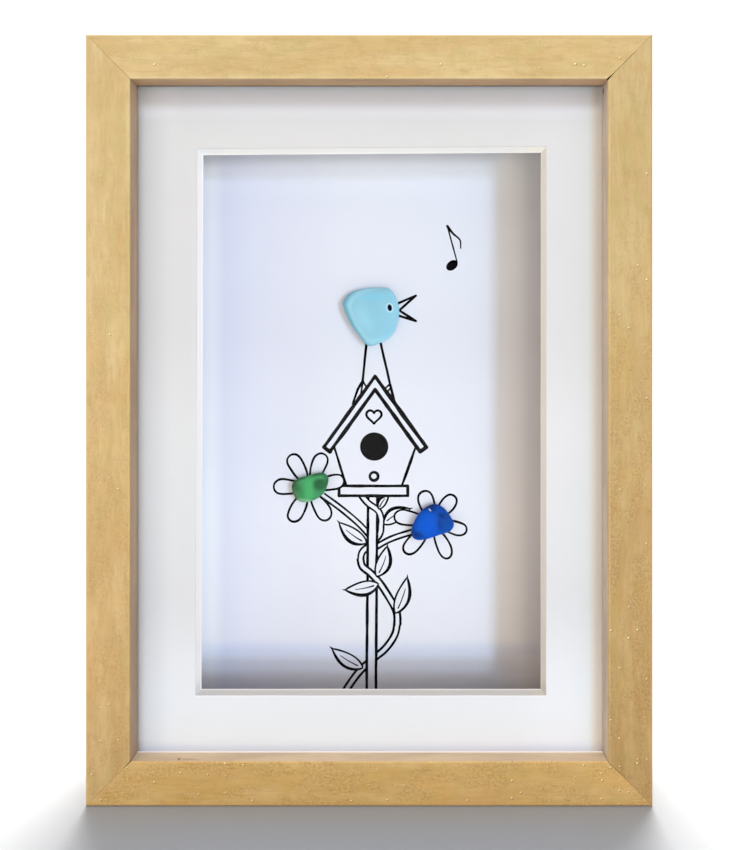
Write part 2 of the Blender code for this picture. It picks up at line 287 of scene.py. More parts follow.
railLook = {
    "outerRound": 0.9, "sightRound": 0.5, "backRound": 0.8,      # radii of the arrises
    "roundSteps": 6, "faceSteps": 24, "lengthSteps": 90,
    "unevenness": 0.035, "clearance": 0.3,      # the rebate keeps this far off the glass
    # half of the mitre joint's width at some distances from the sight edge, on the lip wall and at its foot
    "joint": {
        "topLeft": [(0, 0.09), (4, 0.07), (12, 0.05), (19, 0.03)],
        "topRight": [(0, 0.62), (1.6, 0.26), (2.8, 0.10), (10.5, 0.13), (12, 0.03), (19, 0.05)],
        "bottomRight": [(0, 0.13), (5, 0.10), (7, 0.04), (19, 0.03)],
        "bottomLeft": [(0, 0.30), (1.6, 0.15), (2.6, 0.04), (19, 0.03)],
    },
    "wallJoint": 0.06,
    "foot": {"topLeft": 0.05, "topRight": 0.75, "bottomRight": 0.06, "bottomLeft": 0.08},
    "grainShift": {"top": 0.0, "left": 17.0, "right": 41.0, "bottom": 73.0},     # each shows other grain
    "pale": (237, 210, 160), "honey": (222, 190, 136), "streak": (190, 150, 98),
    "warm": (233, 194, 142), "greenish": (214, 194, 134), "golden": (230, 196, 122),
    # speck and shade: each varnish bubble's painted highlight and its painted shadow; end: the end grain in
    # the mitre gaps, dark partly as end grain is and partly as painted shade there
    "speck": (255, 246, 206), "shade": (150, 116, 62), "end": (52, 32, 18),
    # the grain's patterns: length, width, detail, roughness and waver, then where each begins and is full
    "patterns": {
        "broad": (40, 9, 3, 0.5, 0.4, 0.36, 0.66), "fibre": (5.5, 0.8, 3, 0.6, 0.3, 0.42, 0.72),
        "warm": (18, 5, 2, 0.5, 0.6, 0.50, 0.72), "greenish": (13, 6, 1, 0.5, 0.5, 0.48, 0.70),
        "wave": (14, 2.6, 2, 0.5, 1.1, 0.42, 0.66), "ripple": (4.2, 11, 2, 0.5, 0.9, 0.46, 0.72),
        "grit": (1.2, 0.75, 2, 0.6, 0.0, 0.38, 0.64), "glint": (0.8, 0.65, 1, 0.5, 0.0, 0.50, 0.68),
        "rough": (15, 7, 1, 0.5, 0.5, 0.38, 0.56), "golden": (20, 9, 2, 0.5, 0.6, 0.48, 0.66),
        "pores": (5, 0.8, 2, 0.5, 0.0),
    },
    # how much the varnish is pebbled; the upright rails are smoother from the first height up to the second
    "pebbled": {"top": 0.45, "left": 0.75, "right": 1.3, "bottom": 1.25},
    "smoother": (150, 300),
    "bubbles": {
        "cell": 3.8, "kept": (0.972, 0.982), "moreLow": 0.075, "bubbleShadowSize": 1.5, "bubbleShadowShift": (0.22, 0.26),
    },
    # each rail's tone at the frame's top and at its foot; these, the rim's and the wall's tones carry part
    # of the photo's shading
    "tone": {
        "top": ((227, 230, 222), (227, 230, 222)), "bottom": ((236, 227, 200), (236, 227, 200)),
        "left": ((227, 231, 224), (222, 214, 194)), "right": ((218, 221, 213), (204, 194, 169)),
    },
    "toneMargin": 20,
    # a painted highlight on the sight arris and painted light and shade on the outer rim, with how far in
    # from their edges they fade
    "arrisHighlight": {"top": 0.2, "bottom": 0.0, "left": 0.08, "right": 0.12},
    "arrisHighlightColour": (250, 230, 178), "arrisHighlightFade": (1.2, 0.6),
    "rim": {
        "top": (238, 218, 180), "bottom": (196, 160, 108), "left": (206, 174, 124), "right": (188, 154, 108),
    },
    "rimFade": (0.2, 1.3),
    "frontFade": (0.5, 1.6),      # how far behind the front face the rim's tone and the bubbles end
    "wall": {
        "top": (185, 152, 115), "bottom": (195, 173, 144), "left": (185, 160, 131), "right": (198, 179, 159),
    },
    # painted light and shade along the foot of each lip wall: pale on the bottom wall, a dark shadow line on
    # the top wall, a little darker on the sides
    "wallFootShading": {
        "top": (104, 84, 70), "bottom": (240, 232, 232), "left": (168, 146, 128), "right": (190, 168, 144),
    },
    "footFade": (6.6, 7.3),       # how far behind the front face the foot of the lip wall begins
    # a knot and a chip in the bottom lip wall, and painted shade in the top corner of the right one by the
    # open mitre: where each lies, its half axes, turn, softness, strength, colour
    "marks": {
        "bottom": [((-81.4, -20.4), (0.55, 0.9), 0, 0.6, 0.9, (112, 70, 46)),
                   ((-77.0, -20.6), (4.4, 0.45), 0, 0.6, 0.4, (134, 96, 70))],
        "right": [((-15.4, 306.6), (0.7, 1.6), 0, 0.5, 1.0, (70, 36, 26))],
    },
}
railLow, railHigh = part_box("rail_top")
glassLow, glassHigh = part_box("glazing")
railWidth = (railHigh.z - railLow.z) / mm
railDepth = (railHigh.y - railLow.y) / mm
lipCover = railWidth - (cadHigh.x - glassHigh.x) / mm + railLook["clearance"]
lipDepth = (glassLow.y - railLow.y) / mm - railLook["clearance"]


def isLevel(side):
    return side in ("top", "bottom")


def outerEdge(side):
    # where a rail's outer edge lies, and the sign of the way in from it
    edge = {"top": cadHigh.z, "bottom": cadLow.z, "left": cadLow.x, "right": cadHigh.x}[side]
    return edge / mm, -1 if side in ("top", "right") else 1


def behindFront(wood):
    return wood.along("Y") - cadLow.y / mm


def plankColour(wood, side, grain):
    look = railLook
    pebbled = look["pebbled"][side]
    if not isLevel(side):
        pebbled = (1 - wood.rise(wood.along("Z"), *look["smoother"]) * 0.75) * pebbled
    warm, rough = grain("warm"), grain("rough") * pebbled
    colour = wood.blend(grain("broad") * 0.8, look["pale"], look["honey"])
    colour = wood.blend(warm * 0.58, colour, look["warm"])
    colour = wood.blend((1 - warm) * grain("greenish") * 0.5, colour, look["greenish"])
    colour = wood.blend(grain("golden") * pebbled * 0.3, colour, look["golden"])
    fine = grain("wave") * 0.17 + grain("fibre") * 0.13 + grain("ripple") * 0.10
    colour = wood.blend(fine + rough * grain("grit") * 0.34, colour, look["streak"])
    colour = wood.blend(rough * grain("glint") * 0.5, colour, look["pale"])
    # each rail's tone, which carries painted shade too: the upright rails grow darker towards their foot
    high, lower = look["tone"][side]
    margin = look["toneMargin"]
    far = wood.rise(wood.along("Z"), cadLow.z / mm + margin, cadHigh.z / mm - margin)
    return wood.blend(1.0, colour, wood.blend(far, lower, high), "MULTIPLY")


def wallColour(wood, side, grain):
    look = railLook
    # each lip wall's tone, with painted light and shade by side: darker on the top and left walls
    middle = look["wall"][side]
    pale, honey, streak = (tuple(value * share for value in middle) for share in (1.05, 0.96, 0.84))
    colour = wood.blend(grain("broad"), pale, honey)
    colour = wood.blend(grain("fibre") * 0.25 + grain("grit") * 0.12, colour, streak)
    # painted light and shade along the foot of the lip wall
    foot = wood.rise(behindFront(wood), *look["footFade"])
    colour = wood.blend(foot * 0.9, colour, look["wallFootShading"][side])
    # the knot, the chip and the painted corner shade
    for mark in look["marks"].get(side, []):
        colour = wood.spot(colour, "XY" if isLevel(side) else "YZ", *mark)
    return colour


def bubbles(wood, front, shift, size):
    # how much bubbles in the varnish cover each place, all of them moved and enlarged; most lie low down
    look = railLook["bubbles"]
    sockets = {0: (wood.along("X") - shift[0]) / look["cell"], 1: (wood.along("Z") + shift[1]) / look["cell"]}
    where = wood.node("ShaderNodeCombineXYZ", sockets=sockets)
    away = wood.node("ShaderNodeTexVoronoi", {"voronoi_dimensions": "2D"}, {"Vector": where, "Scale": 1.0})
    dice = wood.node("ShaderNodeSeparateColor", sockets={0: away.also("Color")})
    low = 1 - wood.rise(wood.along("Z"), cadLow.z / mm, cadHigh.z / mm * 0.7)
    kept = wood.rise(dice + low * look["moreLow"], *look["kept"]) * front
    radius = dice.also("Green") * 0.05 + 0.04
    return kept * (1 - wood.rise(away / radius / size, 0.7, 1.3))


def frontColour(wood, side, colour):
    # a painted highlight on the sight arris, painted light and shade on the outer rim, and the varnish's
    # bubbles, each painted as a highlight with a shadow below and right of it
    look = railLook
    edge, inward = outerEdge(side)
    across = (wood.along("Z" if isLevel(side) else "X") - edge) * inward
    start, end = (railWidth - away for away in look["arrisHighlightFade"])
    # painted highlight along the sight arris
    colour = wood.blend(wood.rise(across, start, end) * look["arrisHighlight"][side], colour, look["arrisHighlightColour"])
    front = 1 - wood.rise(behindFront(wood), *look["frontFade"])
    # painted light and shade on the outer rim: lighter on the top rail, darker on the others
    rim = (0.7 - wood.rise(across, *look["rimFade"]) * 0.7) * front
    colour = wood.blend(rim, colour, look["rim"][side])
    # each bubble's painted shadow, moved below and right of it
    rings = bubbles(wood, front, look["bubbles"]["bubbleShadowShift"], look["bubbles"]["bubbleShadowSize"])
    colour = wood.blend(rings * 0.85, colour, look["shade"])
    # each bubble's painted highlight
    return wood.blend(bubbles(wood, front, (0, 0), 1.0), colour, look["speck"])


def woodFinish(side, part):
    # pale close-grained wood: soft mottled patches, faint ripples across the grain and short fine fibres
    look = railLook
    wood = Finish(f"{side} rail {part}")

    made = {}

    def grain(name):
        # one of the patterns along this rail, made when it is first used
        if name not in made:
            length, width, detail, roughness, waver, *limits = look["patterns"][name]
            sides = (length, width, width) if isLevel(side) else (width, width, length)
            pattern = wood.noise(sides, detail, roughness, look["grainShift"][side], waver)
            made[name] = wood.rise(pattern, *limits) if limits else pattern
        return made[name]

    broad, fibre = grain("broad"), grain("fibre")
    if part == "end":
        # end grain, darkened with painted shade for the mitre gaps
        colour = wood.blend(fibre * 0.3, look["end"], look["streak"])
    elif part == "wall":
        colour = wallColour(wood, side, grain)
    else:
        colour = plankColour(wood, side, grain)
    if part == "face":
        colour = frontColour(wood, side, colour)
    height = fibre * -0.5 + grain("pores") * 0.5
    return wood.surface({
        "Base Color": colour, "Roughness": 0.42 + broad * 0.08 + fibre * 0.06,
        "Normal": wood.bump(height, 0.04), "Specular IOR Level": 0.35,
    })


def railProfile():
    # across from the outer edge, and back from the front face; part says which face each span is on
    look = railLook
    outer, sight, back = look["outerRound"], look["sightRound"], look["backRound"]
    steps, faceSteps = look["roundSteps"], look["faceSteps"]
    width, depth = railWidth, railDepth
    rebate = width - lipCover
    faceStep = (width - sight - outer) / faceSteps
    spans = [
        ("face", arc((outer, outer), outer, 180, 270, steps)),
        ("face", [(outer + faceStep * k, 0) for k in range(1, faceSteps)]),
        ("face", arc((width - sight, sight), sight, 270, 360, steps)),
        ("wall", [(width, lipDepth * share) for share in (0.12, 0.2, 0.4, 0.6, 0.8, 0.88, 1)]),
        ("wall", [(rebate, lipDepth)]),
        ("back", arc((rebate - back, depth - back), back, 0, 90, steps)),
        ("back", [(rebate / 2, depth)]),
        ("back", arc((back, depth - back), back, 90, 180, steps)),
        ("back", [(0, depth / 2)]),
    ]
    return [(point, part) for part, points in spans for point in points]


def mitreCut(corner, across, back, part):
    # how far the mitre stays back from its true plane
    look = railLook
    away, half = zip(*look["joint"][corner])
    if part != "wall":
        return np.interp(railWidth - across, away, half)
    middle = look["wallJoint"]
    places = (look["sightRound"], lipDepth * 0.2, lipDepth * 0.8, lipDepth)
    return np.interp(back, places, (half[0], middle, middle, look["foot"][corner]))


def makeRail(side):
    look = railLook
    profile = railProfile()
    edge, inward = outerEdge(side)
    start, end = (cadLow.x, cadHigh.x) if isLevel(side) else (cadLow.z, cadHigh.z)
    corners = {"top": ("topLeft", "topRight"), "bottom": ("bottomLeft", "bottomRight"),
               "left": ("bottomLeft", "topLeft"), "right": ("bottomRight", "topRight")}[side]
    points = []
    steps = look["lengthSteps"]
    for j in range(steps + 1):
        for (across, back), part in profile:
            first = start / mm + across + mitreCut(corners[0], across, back, part)
            last = end / mm - across - mitreCut(corners[1], across, back, part)
            run = first + (last - first) * j / steps
            soft = look["unevenness"] * (0.5 + 0.5 * wander(Vector((run / 9, across / 3, back / 3))))
            hollow = soft if back < railDepth / 2 else 0
            y = cadLow.y / mm + back + (hollow if across < railWidth else 0)
            if part == "wall" and across >= railWidth:
                across -= hollow
            place = edge + across * inward
            point = (run, y, place) if isLevel(side) else (place, y, run)
            points.append(tuple(value * mm for value in point))
    count = len(profile)
    parts = ("face", "wall", "back", "end")
    faces = ringFaces(steps + 1, count)
    faces.append(tuple(range(count)))
    faces.append(tuple(steps * count + k for k in reversed(range(count))))
    slots = [parts.index(profile[(k + 1) % count][1]) for k in range(count)] * steps
    slots += [parts.index("end")] * 2
    materials = [woodFinish(side, part) for part in parts]
    return makePiece(f"dressed_rail_{side}", "rails", points, faces, materials, slots, 32, [f"rail_{side}"])


for side in ("top", "bottom", "left", "right"):
    makeRail(side)
print("Rails made")


# The glass in front

# coated picture glass reflects little
glassLook = {"colour": (250, 253, 252), "roughness": 0.0, "refraction": 1.13}


def glassFinish():
    glass = Finish("clear sheet glass")
    faint = glass.noise(60, 1)
    colour = glass.blend(faint, glassLook["colour"], 255)
    return glass.surface({
        "Base Color": colour, "Roughness": glassLook["roughness"], "IOR": glassLook["refraction"],
        "Transmission Weight": 1.0,
    })


glazing = dressNode("glazing", glassFinish())
glazing.visible_shadow = False       # light passes straight through it
glazing.visible_diffuse = False
print("Glass dressed")


# The mat

matLook = {
    # how far each corner of the window lies off its place, how uneven the cut is, and the board's layers
    "slip": {
        "topLeft": (0.6, -0.7), "topRight": (0.6, 0.4), "bottomRight": (0.5, 0.0), "bottomLeft": (-0.2, 0.0),
    },
    "wobble": 0.10, "sideSteps": 60, "paperThickness": 0.2, "glueLine": 0.01, "lining": 0.42,
    "windowLow": (-74.8, 44.0), "windowHigh": (74.8, 281.2),        # at the back of the bevel
    "face": (250, 251, 254), "core": (236, 235, 231), "backing": (232, 230, 228),
    # tones laid over them, from place to place along an axis: part of the photo's shading
    "faceTones": {
        "Z": [(19, (240, 244, 252)), (24, (248, 252, 255)), (32, (248, 252, 255)), (90, (229, 230, 231)),
              (150, (229, 230, 230)), (210, (222, 222, 221)), (260, (222, 222, 221)), (294, (223, 223, 222)),
              (300, (238, 239, 241)), (307, (231, 231, 232))],
        "X": [(-90, 255), (-80, 249), (60, 249), (84, (252, 252, 254)),
              (95.4, (252, 254, 255)), (99.8, (246, 232, 215)), (101.6, (255, 248, 236))],
    },
    "coreTones": {
        "X": [(-76, (241, 243, 247)), (-60, 246), (60, 246), (76, (249, 245, 235))],
        "Z": [(44, 233), (50, 255), (270, 255), (281.5, (248, 249, 250))],
    },
}


def paperFinish(name, colour, tooth=0.35, depth=0.02, tones=None):
    # the lists of tones along the axes are laid over the paper's colour
    paper = Finish(name)
    patches = paper.noise(24, 2)
    fibres = paper.noise(tooth, 3, 0.6)
    shade = colour
    for axis, stops in (tones or {}).items():
        shade = paper.blend(1.0, shade, paper.tones(axis, stops), "MULTIPLY")
    shade = paper.blend((patches * 0.6 + fibres * 0.4) * 0.025, shade, 0)
    return paper.surface({
        "Base Color": shade,
        "Roughness": 0.82 + fibres * 0.08, "Normal": paper.bump(fibres, depth),
        "Specular IOR Level": 0.25,
    })


def cutSheet(name, outerLow, outerHigh, window, materials, slots):
    # a sheet with the bevelled window cut out of it; window tells how much wider it is at some depths
    look = matLook
    steps = look["sideSteps"]

    def loop(low, high, y, cut):
        places = {"bottomLeft": (low[0], low[1]), "bottomRight": (high[0], low[1]),
                  "topRight": (high[0], high[1]), "topLeft": (low[0], high[1])}
        order = list(places)
        points = []
        for k, corner in enumerate(order):
            here, there = Vector(places[corner]), Vector(places[order[(k + 1) % 4]])
            if cut:
                here = here + Vector(look["slip"][corner])
                there = there + Vector(look["slip"][order[(k + 1) % 4]])
            for j in range(steps):
                t = j / steps
                point = here.lerp(there, t)
                if cut:
                    stray = wander(Vector((t * 7 + k * 13, y * 0.6, 0))) * min(1, 8 * min(t, 1 - t))
                    point = point + leftOf(there - here) * (look["wobble"] * stray)
                points.append((point.x * mm, y * mm, point.y * mm))
        return points

    low, high = look["windowLow"], look["windowHigh"]
    rings = [loop(outerLow, outerHigh, window[0][1], False)]
    for grow, y in window:
        rings.append(loop((low[0] - grow, low[1] - grow), (high[0] + grow, high[1] + grow), y, True))
    rings.append(loop(outerLow, outerHigh, window[-1][1], False))
    count = 4 * steps
    points = [point for ring in rings for point in ring]
    faces = ringFaces(len(rings), count, True)
    slots = [slot for slot in slots for k in range(count)]
    return makePiece(name, "mat", points, faces, materials, slots, 20, ["mat"])


def makeMat():
    # board with a face paper: the bevel shows the board's pale core
    low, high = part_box("mat")
    look = matLook
    front, back = low.y / mm, high.y / mm
    outerLow, outerHigh = (low.x / mm, low.z / mm), (high.x / mm, high.z / mm)
    middle = front + look["paperThickness"]
    thickness = back - front
    facePaper = paperFinish("mat face", look["face"], 0.5, 0.02, look["faceTones"])
    core = paperFinish("mat core", look["core"], 0.18, 0.03, look["coreTones"])
    backPaper = paperFinish("mat back", look["backing"])
    inner = thickness - look["paperThickness"]
    window = [(thickness, front), (inner, middle - look["glueLine"])]
    cutSheet("mat_face_paper", outerLow, outerHigh, window, [facePaper], [0, 0, 0, 0])
    window = [(inner, middle), (look["lining"], back - look["lining"]), (0, back)]
    cutSheet("mat_board", outerLow, outerHigh, window, [core, backPaper], [0, 0, 1, 1, 0])


makeMat()
spacerLook = {
    # each strip's colour carries part of the photo's shading
    "top": (244, 246, 250), "bottom": (240, 244, 252), "left": (244, 246, 250), "right": (228, 219, 212),
}
for side, colour in spacerLook.items():
    dressNode(f"spacer_{side}", paperFinish(f"spacer {side}", colour, 0.4))
print("Mat and spacers made")


# The drawn card

inkLook = {
    "fine": 1.0, "plain": 1.2, "bold": 1.68,     # widths of the pen lines
    "markerFrom": 1.26,      # a line of this width or more is drawn with the marker
    "wobble": 0.10, "uneven": 0.24, "step": 0.8,      # uneven is a share of the width
    "ink": (2, 2, 6), "thinInk": (8, 8, 13), "marker": (31, 31, 30), "paper": (247, 252, 255),
    # laid over the paper: part of the photo's shading, as on the mat
    "tones": {
        "Z": [(32.5, 230), (39, 255), (46, 255), (51, (243, 246, 253)),
              (57, 255), (110, 255), (160, (246, 247, 249)), (204, (239, 240, 243)),
              (240, (241, 242, 245)), (262, (243, 243, 246)), (284, 255)],
        "X": [(-79, (252, 252, 255)), (-70, (232, 233, 245)), (-40, (231, 231, 239)), (-8, (235, 235, 240)),
              (48, (235, 236, 242)), (56, (233, 234, 239)), (61, (240, 239, 240)), (66.5, (245, 240, 237)),
              (70, (250, 242, 235)), (76, (247, 236, 227))],
    },
}
drawnPlaces = {
    # places and sizes that follow the photo's drawing
    "postEdges": (-2.9, 1.5), "postFoot": 22.0, "postLean": 0.4,
    "plankTop": 129.6, "plankBottom": 124.9, "plankHalf": 16.5,
    "apex": (0.8, 182.2), "eaves": 24.6, "eavesHeight": 148.2, "roofBand": 3.7,
    "wallFeet": (-13.0, 13.6), "wallReach": 0.80,      # how far along the slope the wall meets the roof
    "hole": (0.4, 148.5), "holeRadius": 6.8, "peg": (0.3, 134.2), "pegRadius": 1.95, "pegPen": 1.5,
    "heart": (0.3, 162.6), "heartSize": 7.3,
    # stems: the pen, how wide the stem is, and the points that it runs through
    "stemsBehind": [
        ("fine", 2.3, [(-24, 125), (-14, 117.5), (-7, 111.5), (-1, 105)]),
        ("fine", 2.3, [(20, 108), (12, 105.5), (6, 103), (-1, 99)]),
        ("fine", 2.6, [(3.6, 112.6), (3.2, 107), (-0.5, 102.2), (-5.2, 98), (-6.2, 93.6)]),
        ("plain", 2.8, [(11.6, 66), (10.4, 58.5), (5.6, 51.5), (-1, 46), (-7.6, 39.6), (-13.5, 31),
                        (-16, 26)]),
    ],
    "stemsBefore": [
        ("fine", 2.6, [(-6.4, 126), (-2.6, 121.4), (2.2, 117.8), (3.8, 113.6), (3.6, 111)]),
        ("plain", 2.8, [(-6.2, 94.6), (-5.2, 91), (-1.2, 87.6), (3, 83), (7.4, 76.4), (11, 69.5),
                        (11.6, 63)]),
    ],
    # leaves: the foot, the tip and how far the middle line bows
    "leaves": [
        ((-3.4, 102.2), (-16.4, 112.0), 0.9), ((1.6, 86.2), (6.6, 100.6), -1.0),
        ((2.4, 82.6), (-13.4, 79.8), 0.9), ((10.6, 68.6), (16.2, 85.6), -0.9),
        ((-5.2, 42.4), (-19.8, 51.6), 0.8), ((5, 111.4), (17.4, 118.6), 1.0),
        ((2.6, 118.6), (7.4, 125.2), 0.6),
    ],
    "leafWidth": 6.4, "fullLeaf": 14,      # a leaf shorter than this is narrower too
    # the legs and toes: the pen, how much of its width, and the corners
    "legs": [
        ("plain", 1.03, [(-3.2, 199.5), (-5.1, 180.0), (-7.6, 175.8), (-9.9, 169.0)]),
        ("fine", 0.9, [(-5.1, 179.4), (-6.1, 172.8)]),
        ("fine", 0.9, [(-5.0, 180.0), (-3.0, 176.4)]),
        ("plain", 1.03, [(3.2, 199.5), (8.0, 178.4), (10.4, 168.6)]),
        ("fine", 0.9, [(7.6, 178.2), (5.0, 175.8)]),
        ("fine", 0.9, [(8.3, 176.6), (6.3, 174.2)]),
    ],
    # the flowers' middles, and each petal's direction and length
    "greenFlower": (-30.7, 128.8),
    "greenPetals": [(13, 16.9), (67, 17.6), (120, 18.0), (178, 17.1), (241, 18.2), (300, 17.8)],
    "blueFlower": (28.3, 112.4),
    "bluePetals": [(-15, 16.9), (49, 16.3), (106, 15.3), (171, 18.4), (229, 19.7), (294, 19.0)],
    "petalWidth": 8.7,
    "beak": [(11.4, 217.0), (20.4, 220.9), (12.4, 213.8), (20.4, 208.7), (11.4, 211.5)],
    "note": (37.7, 235.4), "noteHead": (3.1, 2.2), "noteTilt": 38, "noteStem": ((2.5, 1.6), (-2.2, 18.8)),
    "noteFlag": [(0, 0), (2.6, -3.4), (6.0, -6.6), (6.4, -10.6)], "notePens": (0.75, 1.25),
}


class Drawing:
    # flat shapes laid on each other in order, and a later one hides what is under it
    kinds = ("paper", "pen", "marker")

    def __init__(self):
        self.shapes = []
        self.kind = []

    def area(self, outline, kind):
        self.shapes.append([(point[0], point[1]) for point in outline])
        self.kind.append(self.kinds.index(kind))

    def kindAt(self, places):
        # what each place is drawn with, by the last shape that covers it
        ink = np.zeros(len(places), int)
        for outline, kind in zip(self.shapes, self.kind):
            corners = np.array(outline)
            least, most = corners.min(0), corners.max(0)
            near = np.flatnonzero(((places >= least) & (places <= most)).all(1))
            if not len(near):
                continue
            x, z = places[near].T
            inside = np.zeros(len(near), bool)
            for (ax, az), (bx, bz) in zip(corners, np.roll(corners, -1, 0)):
                if az != bz:
                    inside ^= ((az > z) != (bz > z)) & (x < (bx - ax) * (z - az) / (bz - az) + ax)
            ink[near[inside]] = kind
        return ink

    def line(self, path, width, closed=False, taper=0.0, swell=0.0, heavy=0.0):
        # one pen line of slightly uneven width; taper thins its far end, swell thickens its middle, and heavy
        # thickens the first half of a closed line, or the second half where it is below zero
        pen = "marker" if width >= inkLook["markerFrom"] else "pen"
        seed = len(self.shapes) * 0.37
        count = len(path)
        left, right = [], []
        for k, (point, across) in enumerate(leftAlong(path, closed)):
            uneven = wander(Vector((point.x / 5, point.y / 5, seed)))
            stray = wander(Vector((point.x / 7, point.y / 7, seed + 9))) * inkLook["wobble"]
            run = k / max(1, count - 1)
            side = math.copysign(1, heavy) * math.sin(2 * math.pi * run)
            press = 1 + swell * math.sin(math.pi * run) + abs(heavy) * max(0, side)
            half = width / 2 * (1 + inkLook["uneven"] * uneven) * (1 - taper * run) * press
            left.append(point + across * (stray + half))
            right.append(point + across * (stray - half))
        for k in range(count if closed else count - 1):
            after = (k + 1) % count
            self.area([left[k], right[k], right[after], left[after]], pen)
        if not closed:
            for k in (0, -1):
                middle = (left[k] + right[k]) / 2
                self.area(disc(middle, (left[k] - right[k]).length / 2, 10), pen)

    def strokes(self, corners, width, swell=0.0):
        # straight pen strokes from corner to corner, with round joints
        for a, b in zip(corners, corners[1:]):
            self.line(straight(tuple(a), tuple(b)), width, swell=swell)

    def ribbon(self, points, width, pen):
        # a stem: two lines with bare paper between them
        path = smoothPath(points, inkLook["step"])
        left = [point + across * width / 2 for point, across in leftAlong(path)]
        right = [point - across * width / 2 for point, across in leftAlong(path)]
        for k in range(len(path) - 1):
            self.area([left[k], right[k], right[k + 1], left[k + 1]], "paper")
        self.line(left, pen)
        self.line(right, pen)

    def outlined(self, outline, pen):
        # bare paper inside one closed pen line
        self.area(outline, "paper")
        self.line(outline, pen, True)


def disc(middle, radius, count):
    turns = [2 * math.pi * k / count for k in range(count)]
    return [Vector((middle[0] + radius * math.cos(a), middle[1] + radius * math.sin(a))) for a in turns]


def straight(*points):
    # straight pen strokes, with enough points to waver a little
    made = []
    for a, b in zip(points, points[1:]):
        a, b = Vector(a), Vector(b)
        count = max(1, round((b - a).length / 2.5))
        made += [a.lerp(b, k / count) for k in range(count)]
    return made + [Vector(points[-1])]


def petal(middle, angle, length, width):
    # a long oval that narrows towards the flower's middle
    ahead = Vector((math.cos(angle), math.sin(angle)))
    across = leftOf(ahead)
    made = []
    for k in range(36):
        turn = 2 * math.pi * k / 36
        run = 0.58 + 0.42 * math.copysign(abs(math.cos(turn)) ** 0.85, math.cos(turn))
        half = width / 2 * math.sin(turn) * (0.74 + 0.26 * math.cos(turn))
        uneven = 1 + 0.12 * wander(Vector((angle * 3, math.cos(turn), math.sin(turn))))
        made.append(Vector(middle) + ahead * (length * run) + across * (half * uneven))
    return made


def leaf(base, tip, width, bend):
    # a pointed leaf whose middle line bows to one side
    base, tip = Vector(base), Vector(tip)
    run = tip - base
    across = leftOf(run)
    rib = [base + run * t + across * (bend * 4 * t * (1 - t)) for t in [k / 20 for k in range(21)]]

    def half(t):
        return width / 2 * math.sin(math.pi * t ** 0.82) ** 0.85 if 0 < t < 1 else 0

    up = [rib[k] + across * half(k / 20) for k in range(21)]
    down = [rib[k] - across * half(k / 20) for k in range(19, 0, -1)]
    return up + down, rib


def drawPost(art):
    at, pen = drawnPlaces, inkLook["plain"] * 1.04
    left, right = at["postEdges"]
    lean, top, foot = at["postLean"], at["plankBottom"], at["postFoot"]
    art.area([(left, foot), (right, foot), (right + lean, top), (left + lean, top)], "paper")
    for edge in (left, right):
        art.line(straight((edge + lean, top), (edge - lean, foot)), pen, swell=0.15)


def drawStems(art, which):
    for pen, width, points in drawnPlaces[which]:
        art.ribbon(points, width, inkLook[pen])


def drawLeaves(art):
    at, fine = drawnPlaces, inkLook["fine"]
    for base, tip, bend in at["leaves"]:
        length = (Vector(tip) - Vector(base)).length
        width = at["leafWidth"] * min(1, length / at["fullLeaf"])
        outline, rib = leaf(base, tip, width, bend)
        art.area(outline, "paper")
        art.line(outline, fine * 0.9, True, heavy=math.copysign(0.8, bend))
        art.line(rib[3:15], fine * 0.7, taper=0.5)
        tipWay = (rib[-1] - rib[-3]).normalized()
        art.line([rib[-1], rib[-1] + tipWay * 0.7, rib[-1] + tipWay * 1.5], fine, taper=0.7)


def drawHouse(art):
    # the front wall, the floor board, the roof, and what is on the wall
    at, plain, bold = drawnPlaces, inkLook["plain"], inkLook["bold"]
    apex, band = Vector(at["apex"]), at["roofBand"]
    slope = Vector((at["eaves"], at["eavesHeight"] - apex.y))
    wallTop = apex - Vector((0, band * slope.length / at["eaves"]))
    reach = slope * at["wallReach"]
    left, right = at["wallFeet"]
    wall = [(left, at["plankTop"]), (apex.x - reach.x, wallTop.y + reach.y), tuple(wallTop),
            (apex.x + reach.x, wallTop.y + reach.y), (right, at["plankTop"])]
    art.area(wall, "paper")
    art.line(straight(wall[0], wall[1]), plain * 0.95)
    art.line(straight(wall[3], wall[4]), plain * 0.95, swell=0.25)
    half, low, high = at["plankHalf"], at["plankBottom"], at["plankTop"]
    board = [(-half, low), (half, low), (half, high), (-half, high)]
    art.area(board, "paper")
    art.strokes(board + board[:1], bold * 0.85)
    halves = []
    for turn in (-1, 1):
        run = Vector((turn * slope.x, slope.y))
        ahead = run.normalized()
        inside = Vector((-turn * abs(ahead.y), -abs(ahead.x))) * band
        halves.append((turn, apex + run, apex + run + inside))
        art.area([tuple(apex), tuple(apex + run), tuple(apex + run + inside), tuple(wallTop)], "paper")
    for turn, end, under in halves:
        art.strokes([apex, end], bold, 0.3 if turn > 0 else 0.1)
        art.strokes([end, under], bold * 1.15)
        art.strokes([under, wallTop], bold, 0.15)
    art.area(disc(at["hole"], at["holeRadius"], 48), "marker")
    art.line(disc(at["peg"], at["pegRadius"], 22), at["pegPen"], True)
    heart = []
    count = 44
    for k in range(count):
        t = 2 * math.pi * (k + 0.5) / count
        x = 16 * math.sin(t) ** 3
        y = 13 * math.cos(t) - 5 * math.cos(2 * t) - 2 * math.cos(3 * t) - math.cos(4 * t)
        heart.append(Vector(at["heart"]) + Vector((x, y + 2)) * (at["heartSize"] / 32))
    art.line(heart, plain * 0.95, True)


def drawFlowers(art):
    # the sea glass covers their middles
    at = drawnPlaces
    dice = random.Random(5)
    for name in ("green", "blue"):
        for turn, reach in at[f"{name}Petals"]:
            width = at["petalWidth"] * dice.uniform(0.92, 1.08)
            outline = petal(at[f"{name}Flower"], math.radians(turn), reach, width)
            art.outlined(outline, inkLook["plain"] * 0.88)


